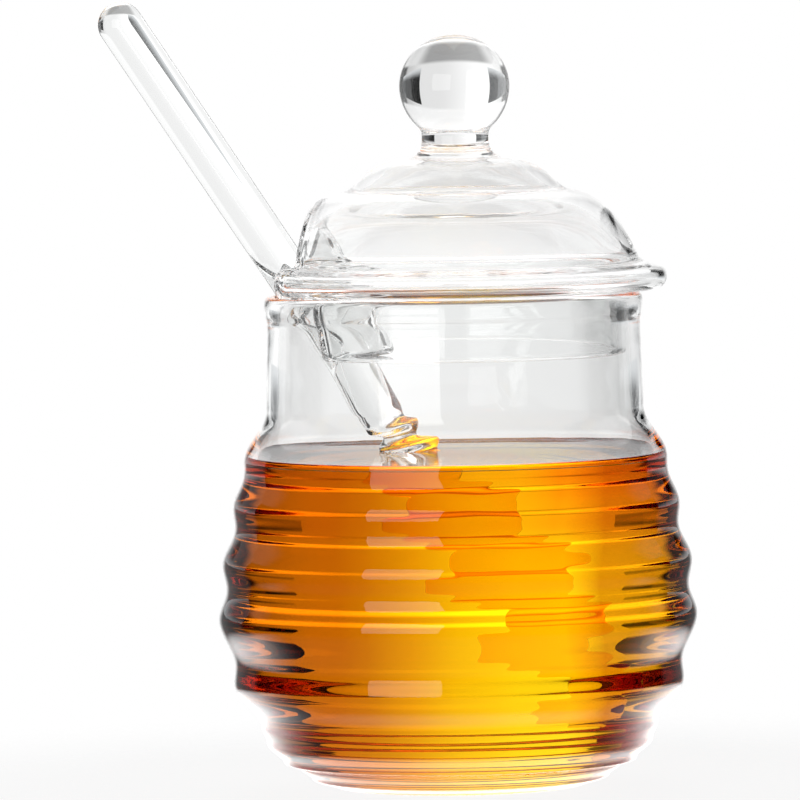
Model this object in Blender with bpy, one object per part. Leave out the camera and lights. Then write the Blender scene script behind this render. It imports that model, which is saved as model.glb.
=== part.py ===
"""A lidded glass honey jar with a beehive body, filled with honey, and its glass dipper.

The jar stands on its flat foot at the origin, +Z up its axis, and the dipper leans out to -X.
The lid lies on the rim, its collar in the neck, and is pressed in at -X to let the dipper out.
"""
from math import acos, cos, pi, radians, sin, sqrt, tan

import bmesh
import bpy
from mathutils import Vector

MM = 0.001

# Jar
BODY_WALL = 2.0 * MM
RIB_SOFTENING = 0.2 * MM        # the ribs stand this much less on the inside
BASE_THICKNESS = 3.2 * MM
FOOT_RADIUS = 22.0 * MM
NECK_RADIUS = 33.1 * MM
NECK_FOOT_RADIUS = 33.5 * MM    # the neck widens a little before it flares
NECK_FOOT_HEIGHT = 66.9 * MM
NECK_WALL = 1.9 * MM
RIM_HEIGHT = 87.4 * MM
RIM_BEAD_RADIUS = 33.6 * MM
RIM_BEAD_DROP = 3.6 * MM        # from the rim's top to the end of its bead
RIM_BEAD_FLANK = 0.8 * MM       # the height in which the bead meets the neck
RIM_BEAD_STEP = 0.35 * MM       # how far the bead's lower edge stands out of the neck
# Ribs from the shoulder down: crest radius and height, then the radius and height of the waist below it
RIBS = (
    (37.6 * MM, 58.3 * MM, 37.6 * MM, 56.4 * MM),
    (39.7 * MM, 49.7 * MM, 39.4 * MM, 46.4 * MM),
    (41.75 * MM, 39.7 * MM, 41.1 * MM, 35.4 * MM),
    (42.55 * MM, 30.1 * MM, 39.75 * MM, 21.9 * MM),
    (40.0 * MM, 18.6 * MM, 35.2 * MM, 11.0 * MM),
    (34.25 * MM, 8.05 * MM, 31.3 * MM, 4.5 * MM),
    (28.6 * MM, 3.7 * MM, 26.4 * MM, 1.6 * MM),
)
INSIDE_RIBS = 5                 # below this many crests the inside is one smooth bowl
BOWL_FLAT_RADIUS = 18.0 * MM

# Lid
LID_WALL = 1.6 * MM
LID_SHIFT = 0.8 * MM            # the dipper pushes the lid off centre, within the collar's play
KNOB_RADIUS = 9.85 * MM
KNOB_HALF_HEIGHT = 8.85 * MM
KNOB_HEIGHT = 124.5 * MM        # the knob's centre
KNOB_NECK_RADIUS = 5.95 * MM
KNOB_NECK_FOOT = 113.4 * MM
KNOB_NECK_LENGTH = 1.6 * MM     # the straight part of the neck, above its foot
KNOB_FLARE = (0.6 * MM, 2.6 * MM)   # how far the neck's flare has widened midway and at its end
KNOB_FLARE_DROP = 0.25 * MM
CROWN_RADIUS = 19.1 * MM
CROWN_FOOT = 106.2 * MM
CROWN_TOP = 111.9 * MM
CROWN_TURN = (58, 6)            # where the crown's round edge starts and ends, in degrees above level
CROWN_LIP = (0.4 * MM, 0.1 * MM)    # the small step out from the crown to the dome
CROWN_HOLLOW_DROP = 0.4 * MM    # the crown is this much thicker in the middle
# The dome's curve below the crown, as radius and height: over its shoulder, down its side, to its foot
DOME_SHOULDER = (26.8 * MM, 105.6 * MM)
DOME_SIDE = (29.2 * MM, 102.5 * MM)
DOME_FOOT = (31.9 * MM, 94.3 * MM)
DOME_FLARE = (32.7 * MM, 0.1 * MM)  # the dome meets the flange at this radius, this far above it
FLANGE_RADIUS = 36.9 * MM
FLANGE_THICKNESS = 5.0 * MM
FLANGE_SLOT = 2.0 * MM          # the flange is a fold of the wall with a slot inside
COLLAR_RADIUS = 29.9 * MM
COLLAR_FOOT = 76.3 * MM
COLLAR_FILLET = (0.5 * MM, 0.6 * MM)    # width and height of the curve from flange to collar
SLOT_FILLET = (0.6 * MM, 0.5 * MM)
SLOT_END = 1.5 * MM             # the wall at the slot's end

# Spout for the dipper, pressed into the lid's side
SPOUT_DEPTH_X = -17.6 * MM      # its floor at the flange's mid height
SPOUT_FLANK_SLOPE = 0.85
SPOUT_FLOOR_ROUND = 5.0 * MM
SPOUT_EDGE_ROUND = 2.4 * MM
COLLAR_FLOOR_SLOPE = 0.35
KEPT_BULGE = 0.45               # the share of the flange's width that stays in the spout
SPOUT_EDGE_LIFT = 0.25          # how far the blend lifts the edge, as a share of the edge round

# Dipper
DIPPER_LEAN = radians(33.0)
ROD_RADIUS = 4.05 * MM
ROD_END_RADIUS = 3.35 * MM      # the rod thins towards the head
HANDLE_REACH = 55.7 * MM        # from the rim's contact to the centre of the round tip
HEAD_START = 87.0 * MM          # from the centre of the round tip
HEAD_LENGTH = 63.0 * MM
HEAD_FIRST_RADIUS = 5.2 * MM
HEAD_RADIUS = 8.0 * MM
HEAD_END_RADIUS = 3.6 * MM
HEAD_END_ROUND = 1.0 * MM       # the rounded end is this much thinner
HEAD_SWELL = (0.07, 0.93)       # the part of a half wave that the head's outline follows
HEAD_FULLNESS = 0.8             # below 1 the outline fills out sooner
HEAD_LEAD = 0.5 * MM            # plain rod between its last ring and the thread
THREAD_PITCH = 5.5 * MM
THREAD_DEPTH = 2.3 * MM

# Honey
HONEY_LEVEL = 57.8 * MM

GAP = 0.3 * MM                  # between neighbouring pieces

# Facets
ROUND_SIDES = 32
LID_SIDES = 36
ROD_SIDES = 14
RIB_STEPS = 3
INSIDE_RIB_STEPS = 2
THREAD_STEPS = 3
BOWL_STEPS = 5
BEAD_STEPS = 6
KNOB_STEPS = 11
FLARE_STEPS = 3
DOME_STEPS = 5
SLOT_STEPS = 4
TIP_STEPS = 4
ROD_STEPS = 4
END_STEPS = 3
MERGE_DISTANCE = 0.01 * MM
SHARP_ANGLE = radians(50)


def clear_scene():
    for old in list(bpy.data.objects):
        bpy.data.objects.remove(old, do_unlink=True)


def material(name, colour, roughness, transmission):
    made = bpy.data.materials.new(name)
    made.use_nodes = True
    shader = made.node_tree.nodes["Principled BSDF"]
    shader.inputs["Base Color"].default_value = (*colour, 1.0)
    shader.inputs["Roughness"].default_value = roughness
    shader.inputs["Metallic"].default_value = 0.0
    shader.inputs["Transmission Weight"].default_value = transmission
    return made


def ramp(start, end, steps):
    """A soft step between two (radius, height) points, upright at both, without its last point."""
    points = []
    for i in range(steps):
        share = i / steps
        ease = (1 - cos(pi * share)) / 2
        points.append((start[0] + (end[0] - start[0]) * ease, start[1] + (end[1] - start[1]) * share))
    return points


def arc(centre, radii, start, end, steps):
    """Points along an elliptical arc, both ends included; angles in degrees from +r towards +z."""
    points = []
    for i in range(steps + 1):
        turn = radians(start + (end - start) * i / steps)
        points.append((centre[0] + radii[0] * cos(turn), centre[1] + radii[1] * sin(turn)))
    return points


def bezier(a, b, c, d, steps):
    """A cubic curve from a to d, both ends included."""
    points = []
    for i in range(steps + 1):
        t = i / steps
        s = 1 - t
        weights = (s ** 3, 3 * s * s * t, 3 * s * t * t, t ** 3)
        points.append(tuple(sum(w * p[k] for w, p in zip(weights, (a, b, c, d))) for k in (0, 1)))
    return points


def turned(name, outline, sides, colouring):
    """Spins an outline of (radius, height) points, which starts and ends on the axis, about Z."""
    bm = bmesh.new()
    points = [bm.verts.new((r, 0.0, z)) for r, z in outline]
    edges = [bm.edges.new(pair) for pair in zip(points, points[1:])]
    bmesh.ops.spin(
        bm, geom=points + edges, cent=(0, 0, 0), axis=(0, 0, 1), angle=2 * pi, steps=sides, use_merge=True
    )
    bmesh.ops.remove_doubles(bm, verts=bm.verts, dist=MERGE_DISTANCE)
    bmesh.ops.recalc_face_normals(bm, faces=bm.faces)
    return to_object(name, bm, colouring)


def to_object(name, bm, colouring):
    mesh = bpy.data.meshes.new(name)
    bm.to_mesh(mesh)
    bm.free()
    mesh.shade_smooth()
    mesh.set_sharp_from_angle(angle=SHARP_ANGLE)
    made = bpy.data.objects.new(name, mesh)
    if colouring is not None:
        mesh.materials.append(colouring)
    bpy.context.scene.collection.objects.link(made)
    return made


def jar_outside():
    """The jar's outer outline from the foot up to the bead under the rim."""
    last = (NECK_FOOT_RADIUS, NECK_FOOT_HEIGHT)
    down = ramp((NECK_RADIUS, RIM_HEIGHT - RIM_BEAD_DROP - RIM_BEAD_FLANK), last, RIB_STEPS)
    for crest_r, crest_z, waist_r, waist_z in RIBS:
        down += ramp(last, (crest_r, crest_z), RIB_STEPS)
        down += ramp((crest_r, crest_z), (waist_r, waist_z), RIB_STEPS)
        last = (waist_r, waist_z)
    down += ramp(last, (FOOT_RADIUS, 0.0), RIB_STEPS)
    down.append((FOOT_RADIUS, 0.0))
    return down[::-1]


def jar_inside(inset):
    """The jar's inner outline from under the neck down to the axis, moved inwards by inset."""
    down = []
    last = (NECK_FOOT_RADIUS - NECK_WALL - inset, NECK_FOOT_HEIGHT)
    steps = RIB_STEPS
    for crest_r, crest_z, waist_r, waist_z in RIBS[:INSIDE_RIBS]:
        crest = (crest_r - BODY_WALL - RIB_SOFTENING - inset, crest_z)
        waist = (waist_r - BODY_WALL + RIB_SOFTENING - inset, waist_z)
        down += ramp(last, crest, steps)
        steps = INSIDE_RIB_STEPS
        down += ramp(crest, waist, steps)
        last = waist
    reach = last[0] - BOWL_FLAT_RADIUS
    drop = last[1] - BASE_THICKNESS - inset
    down += arc((BOWL_FLAT_RADIUS, last[1]), (reach, drop), 0, -90, BOWL_STEPS)
    down.append((0.0, BASE_THICKNESS + inset))
    return down


def make_jar(glass):
    mouth = NECK_RADIUS - NECK_WALL
    bead_half = (RIM_BEAD_RADIUS - mouth) / 2
    bead_foot = RIM_HEIGHT - RIM_BEAD_DROP
    outline = [(0.0, 0.0)] + jar_outside()
    outline += [(NECK_RADIUS + RIM_BEAD_STEP, bead_foot), (RIM_BEAD_RADIUS, bead_foot + RIM_BEAD_FLANK)]
    outline += arc((mouth + bead_half, RIM_HEIGHT - bead_half), (bead_half, bead_half), 0, 180, BEAD_STEPS)
    outline += jar_inside(0.0)
    return turned("jar", outline, ROUND_SIDES, glass)


def honey_outline():
    side = [p for p in jar_inside(GAP) if p[1] < HONEY_LEVEL]
    brim = side[0][0]
    return [(0.0, HONEY_LEVEL), (brim, HONEY_LEVEL)] + side


def make_honey(colouring, cutter):
    honey = turned("honey", honey_outline(), ROUND_SIDES, colouring)
    cut = honey.modifiers.new("dipper_cut", "BOOLEAN")
    cut.operation = "DIFFERENCE"
    cut.solver = "EXACT"
    cut.object = cutter
    return honey


def knob_outline():
    """The knob from its top down to where it meets the crown."""
    neck_turn = -acos(KNOB_NECK_RADIUS / KNOB_RADIUS) * 180 / pi
    ball = arc((0.0, KNOB_HEIGHT), (KNOB_RADIUS, KNOB_HALF_HEIGHT), 90, neck_turn, KNOB_STEPS)
    foot = (KNOB_NECK_RADIUS, KNOB_NECK_FOOT + KNOB_NECK_LENGTH)
    start = (KNOB_NECK_RADIUS, KNOB_NECK_FOOT)
    under = (KNOB_NECK_RADIUS, CROWN_TOP)
    midway = (KNOB_NECK_RADIUS + KNOB_FLARE[0], CROWN_TOP)
    end = (KNOB_NECK_RADIUS + KNOB_FLARE[1], CROWN_TOP - KNOB_FLARE_DROP)
    flare = bezier(start, under, midway, end, FLARE_STEPS)
    return ball + [foot] + flare


def dome_outline(inset, steps):
    """The crown's round edge and the dome below it, from the top down to the flange."""
    crown = arc((0.0, CROWN_FOOT), (CROWN_RADIUS - inset, CROWN_TOP - CROWN_FOOT - inset), *CROWN_TURN, steps)
    start = (CROWN_RADIUS - inset + CROWN_LIP[0], CROWN_FOOT - inset + CROWN_LIP[1])
    shoulder = (DOME_SHOULDER[0] - inset, DOME_SHOULDER[1] - inset)
    side = (DOME_SIDE[0] - inset, DOME_SIDE[1] - inset)
    foot = (DOME_FOOT[0] - inset, DOME_FOOT[1])
    return crown + bezier(start, shoulder, side, foot, steps + 1)


def lid_outline():
    """The lid's whole wall: down outside, round the flange and the collar's lip, and back up inside."""
    half = FLANGE_THICKNESS / 2
    slot = FLANGE_SLOT / 2
    lip = LID_WALL / 2
    inside = COLLAR_RADIUS - LID_WALL
    flange_mid = RIM_HEIGHT + GAP + half
    collar_mid = (flange_mid + COLLAR_FOOT) / 2
    outline = knob_outline() + dome_outline(0.0, DOME_STEPS)
    outline.append((DOME_FLARE[0], flange_mid + half + DOME_FLARE[1]))
    outline += arc((FLANGE_RADIUS - half, flange_mid), (half, half), 90, -90, BEAD_STEPS)
    outline.append((COLLAR_RADIUS + COLLAR_FILLET[0], flange_mid - half))
    outline.append((COLLAR_RADIUS, flange_mid - half - COLLAR_FILLET[1]))
    outline.append((COLLAR_RADIUS, collar_mid))
    outline += arc((COLLAR_RADIUS - lip, COLLAR_FOOT + lip), (lip, lip), 0, -180, SLOT_STEPS)
    outline.append((inside, collar_mid))
    outline.append((inside, flange_mid - slot - SLOT_FILLET[1]))
    outline.append((inside + SLOT_FILLET[0], flange_mid - slot))
    outline += arc((FLANGE_RADIUS - SLOT_END - slot, flange_mid), (slot, slot), -90, 90, SLOT_STEPS)
    outline += dome_outline(LID_WALL, DOME_STEPS - 1)[::-1]
    outline.append((0.0, CROWN_TOP - LID_WALL - CROWN_HOLLOW_DROP))
    return outline


def spout_floor(height):
    """How far the spout's floor lies from the axis at a height, as x."""
    rise = height - (RIM_HEIGHT + GAP + FLANGE_THICKNESS / 2)
    slope = tan(DIPPER_LEAN) if rise > 0 else COLLAR_FLOOR_SLOPE
    return SPOUT_DEPTH_X - slope * rise


def press_spout(lid):
    """Pushes the lid's -X side in, both skins alike, to a trough that follows the dipper."""
    for vertex in lid.data.vertices:
        x, y, z = vertex.co
        radius = sqrt(x * x + y * y)
        is_inside = (vertex.normal.x * x + vertex.normal.y * y) < 0
        skin = LID_WALL if is_inside else 0.0
        bulge = max(0.0, radius + skin - COLLAR_RADIUS)
        flank = SPOUT_FLANK_SLOPE * (sqrt(y * y + SPOUT_FLOOR_ROUND ** 2) - SPOUT_FLOOR_ROUND)
        pressed = spout_floor(z) - flank - KEPT_BULGE * bulge + skin
        near = max(0.0, 1 - abs(x - pressed) / SPOUT_EDGE_ROUND)
        if z < KNOB_NECK_FOOT:
            vertex.co.x = max(x, pressed) + near * near * SPOUT_EDGE_ROUND * SPOUT_EDGE_LIFT
    lid.data.update()


def make_lid(glass):
    lid = turned("lid", lid_outline(), LID_SIDES, glass)
    press_spout(lid)
    lid.location.x = LID_SHIFT
    return lid


def head_radius(along, turn):
    """The dipper's radius at a distance down from the head's start, round a spiral thread."""
    share = along / HEAD_LENGTH
    swell = sin(pi * min(1.0, HEAD_SWELL[0] + HEAD_SWELL[1] * share)) ** HEAD_FULLNESS
    ends = HEAD_FIRST_RADIUS + (HEAD_END_RADIUS - HEAD_FIRST_RADIUS) * share
    crest = ends + (HEAD_RADIUS - ends) * swell
    thread = (1 + cos(2 * pi * along / THREAD_PITCH - turn)) / 2
    fade_in = min(1.0, along / THREAD_PITCH)
    groove = crest - THREAD_DEPTH * fade_in * (1 - thread)
    blend = fade_in * fade_in * (3 - 2 * fade_in)
    return ROD_END_RADIUS + (groove - ROD_END_RADIUS) * blend


def dipper_rings(grow):
    """Each ring's place down the axis and a rule for its radius; grow widens all of them."""
    rings = []
    for i in range(TIP_STEPS):
        turn = pi / 2 * (i + 1) / (TIP_STEPS + 0.5)
        rings.append((-(ROD_RADIUS + grow) * cos(turn), lambda angle, t=turn: (ROD_RADIUS + grow) * sin(t)))
    for i in range(ROD_STEPS + 1):
        share = i / ROD_STEPS
        radius = ROD_RADIUS + (ROD_END_RADIUS - ROD_RADIUS) * share ** 2 + grow
        rings.append((share * (HEAD_START - HEAD_LEAD), lambda angle, r=radius: r))
    count = round(HEAD_LENGTH / THREAD_PITCH * THREAD_STEPS)
    for i in range(1, count + 1):
        along = HEAD_LENGTH * i / count
        rings.append((HEAD_START + along, lambda angle, a=along: head_radius(a, angle) + grow))
    end = HEAD_END_RADIUS - HEAD_END_ROUND + grow
    for i in range(1, END_STEPS):
        turn = pi / 2 * i / END_STEPS
        rings.append((HEAD_START + HEAD_LENGTH + end * sin(turn), lambda angle, t=turn: end * cos(t)))
    return rings


def make_dipper(name, colouring, grow):
    """A round-tipped rod that ends in a spiral head, its axis down its own -Z, tip centre at its origin."""
    bm = bmesh.new()
    rings = []
    for along, radius in dipper_rings(grow):
        ring = []
        for side in range(ROD_SIDES):
            angle = 2 * pi * side / ROD_SIDES
            reach = radius(angle)
            ring.append(bm.verts.new((reach * cos(angle), reach * sin(angle), -along)))
        rings.append(ring)
    for upper, lower in zip(rings, rings[1:]):
        for side in range(ROD_SIDES):
            after = (side + 1) % ROD_SIDES
            bm.faces.new((upper[side], upper[after], lower[after], lower[side]))
    top = bm.verts.new((0, 0, ROD_RADIUS + grow))
    bottom = bm.verts.new((0, 0, -(HEAD_START + HEAD_LENGTH + HEAD_END_RADIUS - HEAD_END_ROUND + grow)))
    for side in range(ROD_SIDES):
        after = (side + 1) % ROD_SIDES
        bm.faces.new((top, rings[0][after], rings[0][side]))
        bm.faces.new((bottom, rings[-1][side], rings[-1][after]))
    bmesh.ops.recalc_face_normals(bm, faces=bm.faces)
    dipper = to_object(name, bm, colouring)
    dipper.rotation_euler.y = -DIPPER_LEAN
    dipper.location = tip_centre()
    return dipper


def tip_centre():
    """Where the round tip's centre is, with the rod laid on the rim's inner edge at -X."""
    bead_half = (RIM_BEAD_RADIUS - NECK_RADIUS + NECK_WALL) / 2
    edge = Vector((-(NECK_RADIUS - NECK_WALL + bead_half), 0.0, RIM_HEIGHT - bead_half))
    up_the_rod = Vector((-sin(DIPPER_LEAN), 0.0, cos(DIPPER_LEAN)))
    across = Vector((cos(DIPPER_LEAN), 0.0, sin(DIPPER_LEAN)))
    return edge + across * (bead_half + ROD_RADIUS + GAP) + up_the_rod * HANDLE_REACH


def main():
    clear_scene()
    glass = material("clear_glass", (0.95, 0.97, 0.97), 0.02, 1.0)
    dipper_glass = material("dipper_glass", (0.96, 0.98, 0.97), 0.02, 1.0)
    lid_glass = material("lid_glass", (0.95, 0.97, 0.98), 0.02, 1.0)
    amber = material("honey", (0.95, 0.52, 0.05), 0.05, 0.6)
    make_jar(glass)
    make_lid(lid_glass)
    make_dipper("dipper", dipper_glass, 0.0)
    cutter = make_dipper("dipper_space", None, GAP)
    cutter.hide_render = True
    cutter.display_type = "WIRE"
    make_honey(amber, cutter)


main()
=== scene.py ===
# %% [markdown]
# # A beehive jar of honey with its glass dipper
# The object is hand-turned clear glass: a ribbed jar, a lid with a solid knob, and a rod with a spiral head.
# Honey fills the jar up to its shoulder. Glass shows nothing but what it bends and mirrors, so this lesson
# has two halves: shapes that are smooth enough to bend light well, and a studio that is worth bending.
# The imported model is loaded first. It is the fixed frame that every piece has to fit.

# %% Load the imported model
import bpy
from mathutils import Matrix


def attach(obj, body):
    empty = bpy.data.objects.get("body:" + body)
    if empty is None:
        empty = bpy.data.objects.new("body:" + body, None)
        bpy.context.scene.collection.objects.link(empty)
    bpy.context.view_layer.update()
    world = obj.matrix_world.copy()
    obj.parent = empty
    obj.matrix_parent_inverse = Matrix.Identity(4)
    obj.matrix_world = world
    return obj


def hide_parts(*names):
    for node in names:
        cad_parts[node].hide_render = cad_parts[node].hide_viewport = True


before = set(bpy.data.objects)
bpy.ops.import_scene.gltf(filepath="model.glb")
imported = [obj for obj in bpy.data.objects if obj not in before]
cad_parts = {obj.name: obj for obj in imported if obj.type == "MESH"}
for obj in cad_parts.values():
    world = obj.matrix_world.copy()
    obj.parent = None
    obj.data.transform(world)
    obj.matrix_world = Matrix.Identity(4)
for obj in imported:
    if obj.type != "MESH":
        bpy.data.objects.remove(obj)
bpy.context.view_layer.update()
print("solids:", ", ".join(sorted(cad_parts)))

# %% Tools from the library
from math import acos, cos, degrees, exp, pi, radians, sin, sqrt, tan

import bmesh
import bpy
from mathutils import Vector

MM = 0.001
WHITE = (1.0, 1.0, 1.0, 1.0)
BLACK = (0.0, 0.0, 0.0, 1.0)
print("Blender", bpy.app.version_string, "works in metres, and a millimetre is", MM)

# %% [markdown]
# ## Writing node trees as sums
# A node tree is easiest to read when its maths looks like maths. `Value` wraps one socket, and its operators
# add Math nodes, also when a plain number comes first, as in `1 - mask`. `Bench` adds every other node:
# it takes the node's type, the settings that change its sockets, and then what goes into the sockets.
# The same two classes serve materials, the world and Geometry Nodes.

# %% A value that does its own maths
class Value:
    def __init__(self, bench, socket):
        self.bench = bench
        self.socket = socket

    def maths(self, operation, *values):
        return self.bench.add("ShaderNodeMath", {"operation": operation}, dict(enumerate(values)))

    def __add__(self, other):
        return self.maths("ADD", self, other)

    def __radd__(self, other):
        return self.maths("ADD", other, self)

    def __sub__(self, other):
        return self.maths("SUBTRACT", self, other)

    def __rsub__(self, other):
        return self.maths("SUBTRACT", other, self)

    def __mul__(self, other):
        return self.maths("MULTIPLY", self, other)

    def __rmul__(self, other):
        return self.maths("MULTIPLY", other, self)

    def __truediv__(self, other):
        return self.maths("DIVIDE", self, other)

    def __rtruediv__(self, other):
        return self.maths("DIVIDE", other, self)


# %% A bench where nodes are put together
class Bench:
    def __init__(self, tree):
        self.tree = tree

    def add(self, kind, settings=None, sockets=None, out=0):
        node = self.tree.nodes.new(kind)
        for name, setting in (settings or {}).items():
            if name == "stops":
                self.set_stops(node.color_ramp, setting)
            else:
                setattr(node, name, setting)
        for key, value in (sockets or {}).items():
            self.plug(node.inputs[key], value)
        return Value(self, node.outputs[out]) if node.outputs else node

    def plug(self, socket, value):
        if isinstance(value, Value):
            self.tree.links.new(value.socket, socket)
        else:
            socket.default_value = value

    def set_stops(self, ramp, stops):
        while len(ramp.elements) < len(stops):
            ramp.elements.new(1.0)
        for element, (place, colour) in zip(ramp.elements, stops):
            element.position = place
            element.color = (*colour, 1.0)


# %% [markdown]
# Five small helpers name what the trees below do again and again: start an empty finish, read one part of a
# vector, slide from one number to another, evenly or softly, and mix two colours. A colour never passes
# through a Math node, which would turn it grey.

# %% Helpers on the bench
def new_finish(name):
    finish = bpy.data.materials.new(name)
    finish.use_nodes = True
    finish.node_tree.nodes.clear()
    return finish, Bench(finish.node_tree)


def part_of(bench, vector, axis):
    return bench.add("ShaderNodeSeparateXYZ", None, {0: vector}, axis)


def slide(bench, value, start, end, low, high):
    """Runs evenly from low to high while the value runs from start to end, and stays level outside."""
    return bench.add("ShaderNodeMapRange", None, {0: value, 1: start, 2: end, 3: low, 4: high})


def soft_slide(bench, value, start, end, low, high):
    """As slide, with a soft beginning and a soft end."""
    settings = {"interpolation_type": "SMOOTHSTEP"}
    return bench.add("ShaderNodeMapRange", settings, {0: value, 1: start, 2: end, 3: low, 4: high})


def mixed(bench, share, first, second, blend="MIX"):
    settings = {"data_type": "RGBA", "blend_type": blend}
    return bench.add("ShaderNodeMix", settings, {0: share, 6: first, 7: second}, 2)


# %% [markdown]
# ## The camera
# The photograph was taken from the height of the lid's knob and from far away, so upright lines stay
# parallel. The outline of the jar in the picture gave the distance, the height and the long lens. The jar
# leans by about one degree in the picture, so the camera is rolled by that much instead of tilting the jar.

# %% Set up the camera
CAMERA_DISTANCE = 1.6
CAMERA_HEIGHT = 0.1455
CAMERA_SIDE = -0.0097
CAMERA_PITCH = radians(2.75)
CAMERA_ROLL = radians(0.93)
LENS = 406.1
SENSOR_WIDTH = 36.0
FARTHEST_SEEN = 100.0
camera_data = bpy.data.cameras.new("camera")
camera_data.lens = LENS
camera_data.sensor_width = SENSOR_WIDTH
camera_data.clip_end = FARTHEST_SEEN
camera = bpy.data.objects.new("camera", camera_data)
bpy.context.scene.collection.objects.link(camera)
camera.location = (CAMERA_SIDE, -CAMERA_DISTANCE, CAMERA_HEIGHT)
camera.rotation_mode = "XYZ"
camera.rotation_euler = (pi / 2 - CAMERA_PITCH, 0.0, 0.0)
camera.rotation_euler.rotate_axis("Z", -CAMERA_ROLL)
bpy.context.scene.camera = camera
print("camera", CAMERA_DISTANCE, "m away, lens", LENS, "mm")

# %% [markdown]
# ## Outlines for the lathe
# Blown and turned glass is round about one axis, so one outline of radius and height is the whole shape.
# It is built from three kinds of stroke: a soft ramp from a rib's crest to its waist, an arc, and a Bezier
# curve.

# %% Strokes of an outline
def ramp(start, end, steps):
    """Ends one step short of its end, so that the next stroke can begin there."""
    points = []
    for i in range(steps):
        share = i / steps
        ease = (1 - cos(pi * share)) / 2
        points.append((start[0] + (end[0] - start[0]) * ease, start[1] + (end[1] - start[1]) * share))
    return points


def arc(centre, radii, start, end, steps):
    """Start and end are in degrees, counted from the outward direction."""
    points = []
    for i in range(steps + 1):
        angle = radians(start + (end - start) * i / steps)
        points.append((centre[0] + radii[0] * cos(angle), centre[1] + radii[1] * sin(angle)))
    return points


def bezier(a, b, c, d, steps):
    points = []
    for i in range(steps + 1):
        t = i / steps
        s = 1 - t
        weights = (s ** 3, 3 * s * s * t, 3 * s * t * t, t ** 3)
        points.append(tuple(sum(w * p[k] for w, p in zip(weights, (a, b, c, d))) for k in (0, 1)))
    return points


print("a quarter circle in three steps has", len(arc((0.0, 0.0), (1.0, 1.0), 0, 90, 3)), "points")

# %% [markdown]
# Strokes meet in corners, and a corner in glass shows as a hard line of light. So the outline is cut into
# steps of about the same length, and then each point moves towards the middle of its neighbours.

# %% Even out and soften an outline
def evened(points, step):
    even = [points[0]]
    for a, b in zip(points, points[1:]):
        length = sqrt((b[0] - a[0]) ** 2 + (b[1] - a[1]) ** 2)
        parts = max(1, round(length / step))
        for i in range(1, parts + 1):
            even.append((a[0] + (b[0] - a[0]) * i / parts, a[1] + (b[1] - a[1]) * i / parts))
    return even


def smoothed(points, passes):
    """Keeps both ends where they are."""
    for _ in range(passes):
        inner = []
        for before, here, after in zip(points, points[1:], points[2:]):
            inner.append(tuple((before[k] + 2 * here[k] + after[k]) / 4 for k in (0, 1)))
        points = [points[0]] + inner + [points[-1]]
    return points


print("a corner after one pass:", smoothed([(0.0, 0.0), (1.0, 0.0), (1.0, 1.0)], 1))

# %% [markdown]
# ## A lathe in Geometry Nodes
# The tree lays a grid over the outline: one way it counts the outline's points, the other way the turns.
# Sample Index reads the point's radius and height, and Set Position turns it about the axis.
# An outline point may also carry a thread depth and a winding angle. The radius then waves round the axis,
# which makes the spiral of the dipper's head by the same rule. Merge by Distance closes seam and poles.

# %% Open the lathe's tree
def open_lathe():
    """An empty tree with its inputs, and the values that its group input gives."""
    tree = bpy.data.node_groups.new("lathe", "GeometryNodeTree")
    tree.interface.new_socket("Outline", in_out="INPUT", socket_type="NodeSocketGeometry")
    tree.interface.new_socket("Sides", in_out="INPUT", socket_type="NodeSocketInt")
    tree.interface.new_socket("Merge Distance", in_out="INPUT", socket_type="NodeSocketFloat")
    tree.interface.new_socket("Turned", in_out="OUTPUT", socket_type="NodeSocketGeometry")
    bench = Bench(tree)
    outline = bench.add("NodeGroupInput", out="Outline")
    given = outline.socket.node.outputs
    return bench, outline, Value(bench, given["Sides"]), Value(bench, given["Merge Distance"])


# %% Build the lathe's tree
def lathe_tree(material):
    bench, outline, sides, merge_distance = open_lathe()
    count = {"component": "MESH"}
    rows = bench.add("GeometryNodeAttributeDomainSize", count, {0: outline}, "Point Count")
    grid = bench.add("GeometryNodeMeshGrid", None, {"Vertices X": sides + 1, "Vertices Y": rows})
    index = bench.add("GeometryNodeInputIndex")
    column = index.maths("FLOOR", index / rows)
    row = index - column * rows

    def sampled(kind, value):
        asked = {"Geometry": outline, "Value": value, 2: row}
        return bench.add("GeometryNodeSampleIndex", {"data_type": kind}, asked)

    def named(name):
        asked = bench.add("GeometryNodeInputNamedAttribute", {"data_type": "FLOAT"}, {"Name": name})
        return sampled("FLOAT", asked)

    place = sampled("FLOAT_VECTOR", bench.add("GeometryNodeInputPosition"))
    angle = column / sides * (2 * pi)
    wave = (1 - angle.maths("COSINE", named("winding") - angle)) / 2
    reach = part_of(bench, place, "X") - named("thread") * wave
    spot = bench.add("ShaderNodeCombineXYZ", None, {
        0: reach * angle.maths("COSINE", angle),
        1: reach * angle.maths("SINE", angle),
        2: part_of(bench, place, "Z"),
    })
    turned = bench.add("GeometryNodeSetPosition", None, {"Geometry": grid, "Position": spot})
    skin = bench.add("GeometryNodeStoreNamedAttribute", {"data_type": "FLOAT", "domain": "POINT"}, {
        "Geometry": turned, "Name": "skin", "Value": named("skin"),
    })
    closed = bench.add("GeometryNodeMergeByDistance", None, {"Geometry": skin, "Distance": merge_distance})
    smooth = bench.add("GeometryNodeSetShadeSmooth", None, {"Geometry": closed})
    real = bench.add("GeometryNodeRealizeInstances", None, {"Geometry": smooth})
    dressed = bench.add("GeometryNodeSetMaterial", None, {"Geometry": real, "Material": material})
    bench.add("NodeGroupOutput", None, {"Turned": dressed})
    return bench.tree


# %% [markdown]
# The outline goes in as a string of points, each with its three numbers as attributes. What comes out is
# made a plain mesh, and its faces are turned to point outwards. A closed skin has no open edge, which is
# worth counting: glass with a hole in it bends no light at all.

# %% Turn an outline into a finished mesh
MERGE_DISTANCE = 0.001 * MM


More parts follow.
